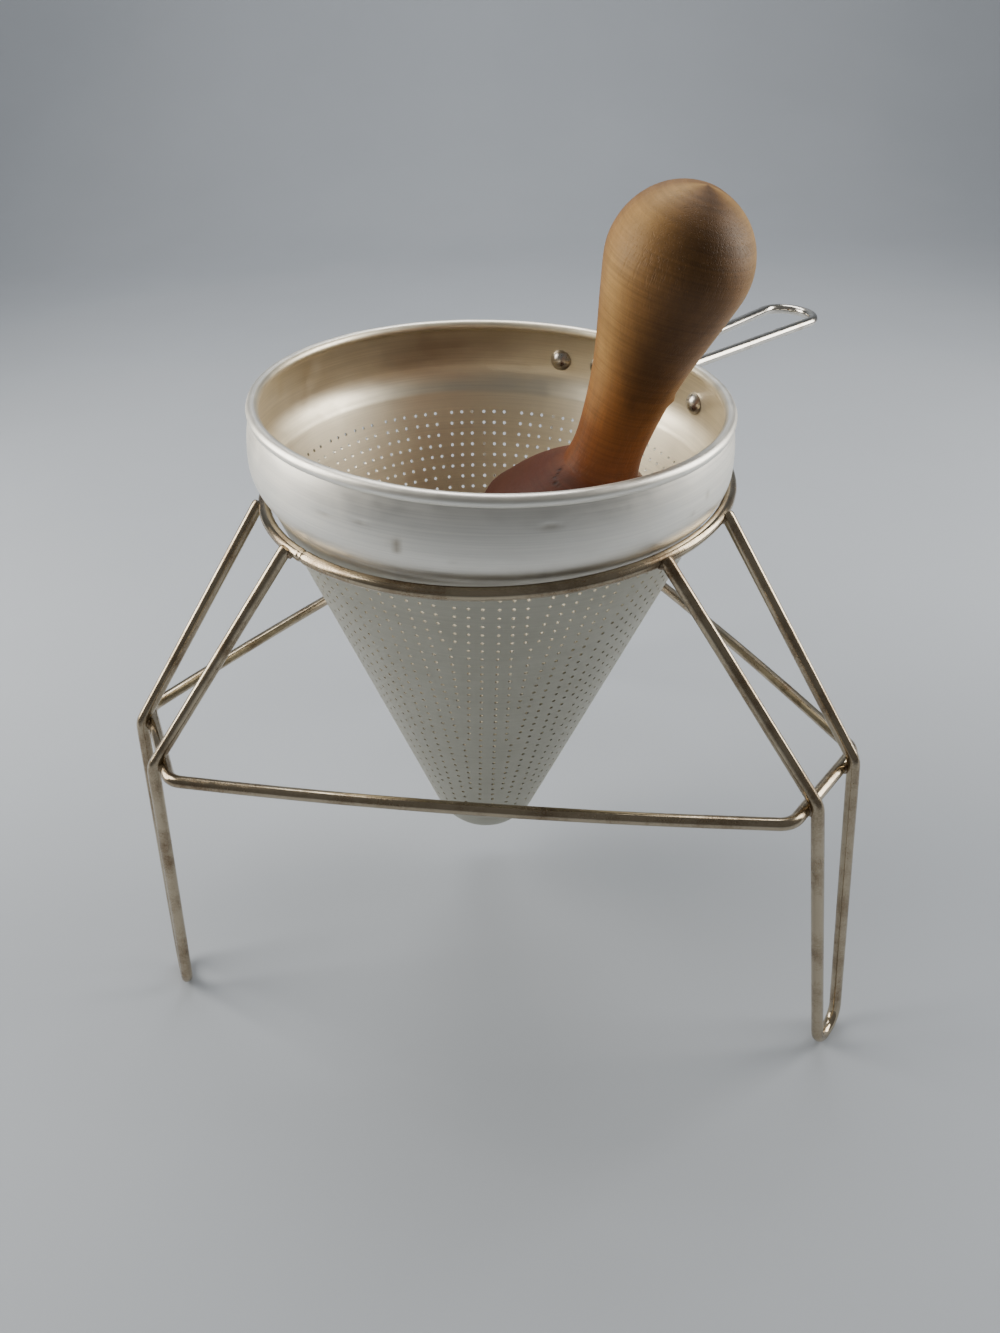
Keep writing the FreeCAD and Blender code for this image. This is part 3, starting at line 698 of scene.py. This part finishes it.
def marks(points, spots):
    """Sum of soft round spots on the outside, each given by its turn, height and size."""
    turn = np.degrees(np.arctan2(points[..., 1], points[..., 0])) % 360
    total = np.zeros(points.shape[:-1])
    for at, height, wide, tall, strength in spots:
        across = np.radians(turn - at) * 96 / wide
        total += strength * np.exp(-across ** 2 - ((points[..., 2] - height) / tall) ** 2)
    return total


def strainer():
    """Perforated cone, plain nose, belly and rolled bead as one closed sheet."""
    mould = Mould()
    radius, height = band_profile()
    turns = np.arange(256) * FULL_TURN / 256
    run = 260 + np.concatenate([[0], np.cumsum(np.hypot(np.diff(radius), np.diff(height)))])
    around = [radius[:, None] * np.cos(turns), radius[:, None] * np.sin(turns), height[:, None] + 0 * turns]
    around = np.stack(around, axis=-1)
    dent = marks(around, DINGS)
    rim_wave = 0.10 * np.sin(3 * turns + 1.0) + 0.06 * np.sin(7 * turns + 0.4) + 0.035 * np.sin(23 * turns)
    near_rim = np.clip((height[:, None] - 24) / 8, 0, 1) * rim_wave
    upper = revolved(mould, radius, height, turns, run, near_rim - dent)
    mould.skin(upper)
    above = [(upper[0], turns), (upper[-1], turns)]
    for holes, first, last in ROWS:
        rims = perforated_band(mould, holes, first, last)
        for face, flip in ((0, False), (1, True)):
            top, bottom = rims[face]
            mould.cloth(above[face][0], above[face][1], top[0], top[1], flip=flip)
            above[face] = bottom
    nose_turns = np.arange(64) * FULL_TURN / 64
    for face, depth, flip in ((0, 0.0, False), (1, SHEET, True)):
        angle = np.linspace(-math.pi / 2, -HALF, 16)[1:]
        straight = np.linspace(76, 83.9, 4)
        ball = NOSE - depth
        cone_radius = straight * math.sin(HALF) - depth * math.cos(HALF)
        cone_height = TIP + straight * math.cos(HALF) + depth * math.sin(HALF)
        nose_radius = np.concatenate([ball * np.cos(angle), cone_radius])
        nose_height = np.concatenate([NOSE_HEIGHT + ball * np.sin(angle), cone_height])
        grid = revolved(mould, nose_radius, nose_height, nose_turns, 60 + nose_radius)
        mould.skin(grid, flip=flip)
        pole = mould.add(np.array([[0.0, 0.0, NOSE_HEIGHT - ball]]))
        mould.cap(grid[0], pole[0], flip=flip)
        mould.cloth(above[face][0], above[face][1], grid[-1], nose_turns, flip=flip)
    points = np.concatenate(mould.points)
    out = np.hypot(points[:, 0], points[:, 1])
    middle_wall = band_radius(points[:, 2]) - SHEET / 2
    nose_part = points[:, 2] < NOSE_HEIGHT - NOSE * math.sin(HALF)
    ball_out = np.hypot(out, points[:, 2] - NOSE_HEIGHT) < NOSE - SHEET / 2
    inside = np.where(nose_part, ball_out, out < middle_wall)
    inside = np.where(points[:, 2] > 30.9, out < 91.5, inside)
    cone = np.clip((3.0 - points[:, 2]) / 5, 0, 1)
    # Painted shade: a dark band round the outside at the crease, where the stand's ring shades the sheet; it
    # is added to the real stains.
    under_ring_painted_shade = np.exp(-((points[:, 2] - 2.5) / 3.2) ** 2) * 0.55 * (1 - inside)
    stain_and_shade = np.clip(marks(points, STAINS) * (1 - inside) + under_ring_painted_shade, 0, 1)
    extra = {"inside": inside.astype(float), "cone": cone, "stain_and_shade": stain_and_shade}
    mould.piece(
        "perforated_strainer", "strainer", SPUN, ["strainer_cone"],
        STRAINER_LEAN, STRAINER_SEAT, extra=extra,
    )


strainer()

# --------------------------------------------------------------------------- the handle

WIRE = 2.5


def handle():
    """Loop of wire whose two ends are squeezed flat and lie along the belly.

    The line runs along the belly, bends outward, and goes round the loop; over the last part of
    each end the round section turns into a flat one with a rounded tip."""
    begin, end = math.radians(9.2), math.radians(28.2)
    run = BELLY + 0.1 + WIRE
    start = np.array([run * math.cos(begin), run * math.sin(begin), 0])
    neck, wide, far_x = 7.5, 14.5, 242.0
    corner = np.array([start[0] + (start[1] - neck) * math.tan(begin), neck, 0])
    far = np.array([far_x, wide, 1.5])
    angle = np.linspace(end, begin, 40)[:-1]
    flat_run = BELLY + 0.06 + 1.3
    lift = np.clip((begin + math.radians(4.0) - angle) / math.radians(4.0), 0, 1)
    out = flat_run + (run - flat_run) * lift ** 2 * (3 - 2 * lift)
    tab = np.stack([out * np.cos(angle), out * np.sin(angle), 0 * angle], axis=-1)
    corners = list(tab) + [start, corner, far]
    corners += [c * MIRROR for c in reversed(corners)]
    bends = [0] * len(tab) + [0, 7.0, 0.93 * wide]
    bends += bends[::-1]
    line = bent(corners, bends, step=0.8)
    length = np.concatenate([[0], np.cumsum(np.linalg.norm(np.diff(line, axis=0), axis=1))])
    from_end = np.minimum(length, length[-1] - length)
    arc = flat_run * (end - begin)
    flat = np.clip((arc + 1.5 - from_end) / 9.0, 0, 1)
    flat = flat ** 2 * (3 - 2 * flat)
    tip = np.sqrt(np.clip(1 - np.clip(1 - from_end / 4.0, 0, 1) ** 2, 0.002, 1))
    tall = (WIRE + (4.0 - WIRE) * flat) * tip
    thick = (WIRE + (1.3 - WIRE) * flat) * np.clip(tip * 1.6, 0, 1)
    mould = Mould()
    bar(mould, line, np.array([0, 0, 1.0]), tall, thick, 2 + 2.2 * flat, sides=24)
    lean = STRAINER_LEAN @ turned(45)
    seat = STRAINER_SEAT + STRAINER_LEAN @ np.array([0, 0, 18.3])
    mould.piece("handle_loop", "strainer", BRIGHT, ["handle_wire"], lean, seat, crease=60)


handle()
for number in range(1, 5):
    rivet = frame["nodes"]["rivet_%d" % number]
    rivet.material_slots[0].material = SATIN

# ---------------------------------------------------------------------------- the stand

RING_RADIUS = 94.7
RING_HEIGHT = 221.7
LAP = 2 * WIRE - 0.4
LEG_TURNS = {"leg_left": 203.2, "leg_right": 319.5, "leg_rear": 84.1}
FOOT_REACH = {"leg_left": 175.5, "leg_right": 178.7, "leg_rear": 178.7}
TOP_SPREAD = math.radians(13.0)
TOP_REACH = RING_RADIUS + 1.9
TOP = np.array([TOP_REACH * math.cos(TOP_SPREAD), TOP_REACH * math.sin(TOP_SPREAD), RING_HEIGHT + 0.9])
KNEE = np.array([160.8, 16.1, 139.0])


def leg_line(name):
    """Centre line of a hairpin: down from the ring to the knee, round the foot and back up."""
    strand = [TOP, KNEE, np.array([FOOT_REACH[name], 8.9, WIRE - 0.15])]
    corners = strand + [p * MIRROR for p in reversed(strand)]
    return bent(corners, [0, 9.0, 8.3, 8.3, 9.0, 0], step=1.0)


def leg(name, turn):
    """Hairpin of wire butted against the ring, its bend worn flat where it stands."""
    line = leg_line(name)
    mould = Mould()
    radius = cut_ends(line, WIRE, 0.35)
    bar(mould, line, np.array([0.8, 0, 0.6]), radius, radius)
    mould.points = [np.maximum(p, [-1e9, -1e9, 0.0]) for p in mould.points]
    mould.piece(name + "_wire", "stand", PLATED, [name], turned(turn), NO_SHIFT, crease=50)


def brace_height(point):
    """Height of the brace over a point: it was welded in a little out of level."""
    return 132.3 - 0.0178 * point[0] - 0.0506 * point[1]


def brace_corner(name, side):
    """Point on the brace's short side inside a knee: one lap in from the leg's own wire."""
    turn = turned(LEG_TURNS[name])
    level = brace_height(turn @ [KNEE[0], 0, 0])
    strand = leg_line(name)
    strand = strand[:len(strand) // 2][::-1]
    reach = np.interp(level, strand[:, 2], strand[:, 0]) - LAP + 0.2
    corner = turn @ [reach, side, 0]
    return corner + [0, 0, brace_height(corner)]


def brace():
    """Closed loop: a short side inside each knee and a long, slightly bowed side between legs."""
    names = list(LEG_TURNS)
    corners, bends = [], []
    bow, bend = 1.8 * 3.6, 9.0
    for i in range(3):
        near, far = brace_corner(names[i], -28.0), brace_corner(names[i], 28.0)
        after = brace_corner(names[(i + 1) % 3], -28.0)
        middle = (far + after) / 2
        apex = middle + unit(middle * [1, 1, 0]) * bow
        apex[2] = brace_height(apex)
        half = np.linalg.norm((far - after) * [1, 1, 0]) / 2
        corners += [near, far, apex]
        bends += [bend, bend, (half - 2.4 * bend) * half / bow]
    line = bent(corners, bends, step=1.2, closed=True)
    mould = Mould()
    bar(mould, line, np.array([0, 0, 1.0]), WIRE, WIRE, closed=True)
    mould.piece("brace_wire", "stand", PLATED, ["stand_brace"], UPRIGHT, NO_SHIFT, crease=60)


def ring():
    """Upper ring with its butt joint: the wire dips at the joint and swells beside it."""
    turns = np.arange(600) * FULL_TURN / 600
    line = [RING_RADIUS * np.cos(turns), RING_RADIUS * np.sin(turns), RING_HEIGHT + 0 * turns]
    line = np.stack(line, axis=-1)
    joint = math.radians(221.5)
    off = ((turns - joint + math.pi) % FULL_TURN - math.pi) * RING_RADIUS
    shape = 1 - 0.2 * np.exp(-(off / 0.9) ** 2) + 0.04 * np.exp(-((np.abs(off) - 2.4) / 1.2) ** 2)
    mould = Mould()
    bar(mould, line, np.array([0, 0, 1.0]), WIRE * shape, WIRE * shape, closed=True, sides=24)
    mould.piece("ring_wire", "stand", PLATED, ["stand_ring"], UPRIGHT, NO_SHIFT, crease=60)


def blob(mould, centre, axes, size, seed):
    """Lump of weld metal: an ellipsoid roughened by a few waves."""
    turn = np.arange(20) * FULL_TURN / 20
    tilt = np.linspace(0, math.pi, 13)[1:-1]
    way = np.stack([
        np.sin(tilt)[:, None] * np.cos(turn),
        np.sin(tilt)[:, None] * np.sin(turn),
        np.cos(tilt)[:, None] + 0 * turn,
    ], axis=-1)
    rough = 1 + 0.06 * np.sin(5 * way[..., 0] + seed) + 0.05 * np.sin(7 * way[..., 1] + 2 * seed)
    rough = rough + 0.04 * np.sin(9 * way[..., 2] - seed)
    points = centre + (way * rough[..., None] * size) @ axes.T
    grid = mould.add(points, points)
    mould.skin(grid[::-1])
    ends = mould.add(centre + np.array([[0, 0, -size[2]], [0, 0, size[2]]]) @ axes.T)
    mould.cap(grid[-1], ends[0])
    mould.cap(grid[0], ends[1], flip=True)


def welds():
    """Welds where the strands meet the ring and where the knees meet the brace."""
    mould = Mould()
    seed = 0
    for name, turn in LEG_TURNS.items():
        for side in (1, -1):
            seed += 1
            axes = turned(turn + math.degrees(TOP_SPREAD) * side)
            centre = axes @ np.array([RING_RADIUS + 2.1, 0, RING_HEIGHT - 1.3])
            blob(mould, centre, axes, np.array([1.5, 3.3, 1.7]), seed)
            centre = brace_corner(name, side * 16.0) + turned(turn) @ [LAP / 2 - 0.2, 0, 0]
            blob(mould, centre, turned(turn), np.array([1.4, 3.0, 2.7]), seed + 0.5)
    mould.piece("weld_beads", "stand", WELD, lean=UPRIGHT, seat=NO_SHIFT)


for leg_name, leg_turn in LEG_TURNS.items():
    leg(leg_name, leg_turn)
brace()
ring()
welds()

# --------------------------------------------------------------------------- the pestle


def pestle_outline():
    """Half outline from the top of the bulb to the tip: grip, crowned shoulder, edge, taper, nose."""
    bulb, neck, head, tip, top, low = 25.3, 13.9, 40.6, 21.0, 132.5, 118.0
    taper = math.tan(HALF - math.radians(PESTLE_ANGLE))
    grip = [
        (0, top), (bulb * 0.69, top * 0.948), (bulb * 0.93, top * 0.882), (bulb, top * 0.81),
        (bulb * 0.945, top * 0.75), (bulb * 0.815, top * 0.652), (neck * 1.17, top * 0.514),
        (neck, top * 0.37), (neck * 1.08, top * 0.21),
    ]
    upper = smooth_through(grip, (1, 0), (0.3, -1), 110)
    rim = (head * 0.95, 0.015 * top)
    along = np.linspace(0, 1, 24)[:, None]
    crown = unit(np.array([grip[-1][1] - rim[1], rim[0] - grip[-1][0]])) * 1.9
    shoulder = np.array(grip[-1]) * (1 - along) + np.array(rim) * along + 4 * along * (1 - along) * crown
    side_low = (head - 62 * taper, -62)
    edge_points = [rim, (head - 0.65, -1.6), (head - 4.6 * taper, -4.6)]
    edge = smooth_through(edge_points, (0.8, -0.6), (-taper, -1), 10)
    side = np.linspace((head - 4.6 * taper, -4.6), side_low, 20)
    nose_points = [
        side_low,
        ((side_low[0] + tip) * 0.525, -0.77 * low),
        (tip, -0.945 * low),
        (tip * 0.55, -0.99 * low),
        (0, -low),
    ]
    nose = smooth_through(nose_points, (-taper, -1), (-1, 0), 46)
    return np.concatenate([upper[1:], shoulder[1:], edge[1:], side[1:], nose[1:-1]])[::-1], top, low


def pestle():
    """Turned pestle, worn slightly out of round, with a small lump on its neck and a short
    crack where the shoulder of its head begins."""
    outline, top, low = pestle_outline()
    turns = np.arange(360) * FULL_TURN / 360
    height = outline[:, 1]
    wear = 0.22 * np.sin(2 * turns + height[:, None] / 30)
    wear = wear + 0.12 * np.sin(5 * turns + height[:, None] / 17 + 1)
    wear = wear * np.clip(outline[:, :1] / 10, 0, 1) * (height[:, None] > 4) - 0.25 * (height[:, None] > 4)
    facing = (turns - LUMP[0] + math.pi) % FULL_TURN - math.pi
    wear = wear + LUMP[2] * np.exp(-(facing * 15 / 2.6) ** 2 - ((height[:, None] - LUMP[1]) / 1.6) ** 2)
    mould = Mould()
    around = np.stack([np.cos(turns), np.sin(turns), 0 * turns], axis=-1)
    points = (outline[:, :1] + wear)[..., None] * around + height[:, None, None] * np.array([0, 0, 1.0])
    grid = mould.add(points, points)
    mould.skin(grid)
    poles = np.array([[0, 0, -low], [0, 0, top]])
    ends = mould.add(poles, poles)
    mould.cap(grid[0], ends[0])
    mould.cap(grid[-1], ends[1], flip=True)
    everything = np.concatenate(mould.points)
    turn = np.degrees(np.arctan2(everything[:, 1], everything[:, 0])) % 360
    tall = everything[:, 2]
    part_way = (turn - CRACK[0]) / (CRACK[2] - CRACK[0])
    sag = CRACK[1] + (CRACK[3] - CRACK[1]) * part_way
    sag = sag + 0.5 * np.sin(part_way * 9) + 0.2 * np.sin(part_way * 25)
    inside = np.clip(part_way / 0.15, 0, 1) * np.clip((1 - part_way) / 0.3, 0, 1)
    crack = np.exp(-((tall - sag) / 0.38) ** 2) * inside
    grip = np.clip((tall - 45) / 30, 0, 1)
    # Painted highlights: the grip's left and right sides (turns 203 and 343) are marked to be painted paler,
    # in place of light from the side lamps.
    painted_highlight_sides = np.exp(-((turn - 203) / 24) ** 2) + 0.8 * np.exp(-((turn - 343) / 24) ** 2)
    # Painted shade: the grip's front (turn 272) is marked to be painted darker, in place of shade.
    shaded = np.exp(-((turn - 272) / 34) ** 2) * grip
    extra = {"crack": crack, "wear_and_painted_light": painted_highlight_sides * grip, "painted_shade": shaded}
    mould.piece(
        "wooden_pestle", "pestle", WOOD, ["pestle"],
        PESTLE_LEAN, PESTLE_SEAT, extra=extra,
    )


# The lump's turn, height and size, and the turn and height of the crack's two ends, all in the
# pestle's own frame.
LUMP = (math.radians(340), 63.0, 0.9)
CRACK = (197.5, 26.5, 223.0, 22.0)
pestle()

# ------------------------------------------------------------------ floor, light, camera


def plain(name, colour, roughness):
    """Even matt paper with a faint tooth."""
    material = bpy.data.materials.new(name)
    material.use_nodes = True
    tree = material.node_tree
    shader = tree.nodes["Principled BSDF"]
    shader.inputs["Roughness"].default_value = roughness
    position = add(tree, "ShaderNodeTexCoord").outputs["Object"]
    shade = spread(tree, noise(tree, position, 3.0, 4.0), 0.3, 0.7, 0.97, 1.03)
    tint = add(tree, "ShaderNodeVectorMath", {0: colour, "Scale": shade}, operation="SCALE").outputs[0]
    tree.links.new(tint, shader.inputs["Base Color"])
    return material


def backdrop():
    """Sheet of paper: flat floor, a quarter round, and a wall behind."""
    across = np.linspace(-4, 4, 9)
    bend = np.linspace(0, math.pi / 2, 17)
    y = np.concatenate([np.linspace(-4, 1.3, 12), 1.4 + 0.8 * np.sin(bend), [2.2, 2.2]])
    z = np.concatenate([np.zeros(12), 0.8 - 0.8 * np.cos(bend), [1.6, 4.0]])
    points = [across[None] + 0 * y[:, None], y[:, None] + 0 * across, z[:, None] + 0 * across]
    points = np.stack(points, axis=-1)
    mesh = bpy.data.meshes.new("backdrop")
    grid = np.arange(points[..., 0].size).reshape(points.shape[:2])
    faces = np.stack([grid[:-1, :-1], grid[:-1, 1:], grid[1:, 1:], grid[1:, :-1]], axis=-1).reshape(-1, 4)
    mesh.from_pydata(points.reshape(-1, 3).tolist(), [], faces.tolist())
    mesh.shade_smooth()
    mesh.materials.append(plain("paper", (0.42, 0.455, 0.505), 0.9))
    made = bpy.data.objects.new("backdrop", mesh)
    bpy.context.scene.collection.objects.link(made)


def softbox(name, place, aim, wide, tall, power, colour=(1, 1, 1)):
    light = bpy.data.lights.new(name, "AREA")
    light.shape = "RECTANGLE"
    light.size, light.size_y = wide, tall
    light.energy = power
    light.color = colour
    made = bpy.data.objects.new(name, light)
    made.location = place
    made.rotation_euler = (Vector(aim) - Vector(place)).to_track_quat("-Z", "Y").to_euler()
    bpy.context.scene.collection.objects.link(made)


backdrop()
softbox("left_box", (-0.95, 0.12, 0.62), (0, 0, 0.2), 0.6, 0.9, 14, (1.0, 0.955, 0.875))
softbox("right_box", (0.98, 0.18, 0.55), (0, 0, 0.2), 0.5, 0.8, 10, (1.0, 0.965, 0.90))
softbox("top_box", (0.0, 0.55, 1.4), (0, 0, 0.15), 1.0, 0.6, 9, (1, 0.985, 0.96))
softbox("wall_box", (0.0, 0.9, 1.7), (0, 2.1, 0.7), 1.6, 0.4, 16, (1, 0.99, 0.97))

world = bpy.data.worlds.new("room")
world.use_nodes = True
world.node_tree.nodes["Background"].inputs[0].default_value = (0.70, 0.69, 0.67, 1)
world.node_tree.nodes["Background"].inputs[1].default_value = 0.22
bpy.context.scene.world = world


def camera():
    """Camera from its place, its heading and tilt, and how far it is rolled."""
    yaw, pitch, roll_turn = (math.radians(v) for v in (-0.328, -35.09, -2.66))
    forward = Vector((math.sin(yaw) * math.cos(pitch), math.cos(yaw) * math.cos(pitch), math.sin(pitch)))
    level = Vector((math.cos(yaw), -math.sin(yaw), 0))
    up = level.cross(forward)
    right = math.cos(roll_turn) * level + math.sin(roll_turn) * up
    top = -math.sin(roll_turn) * level + math.cos(roll_turn) * up
    lens = bpy.data.cameras.new("camera")
    lens.sensor_width = 36
    lens.lens = 36 * 978.58 / 1333
    lens.clip_start, lens.clip_end = 0.01, 50
    made = bpy.data.objects.new("camera", lens)
    turn = Matrix((right, top, -forward)).transposed().to_4x4()
    made.matrix_world = Matrix.Translation(Vector((0, -0.3768, 0.3901))) @ turn
    bpy.context.scene.collection.objects.link(made)
    bpy.context.scene.camera = made


camera()
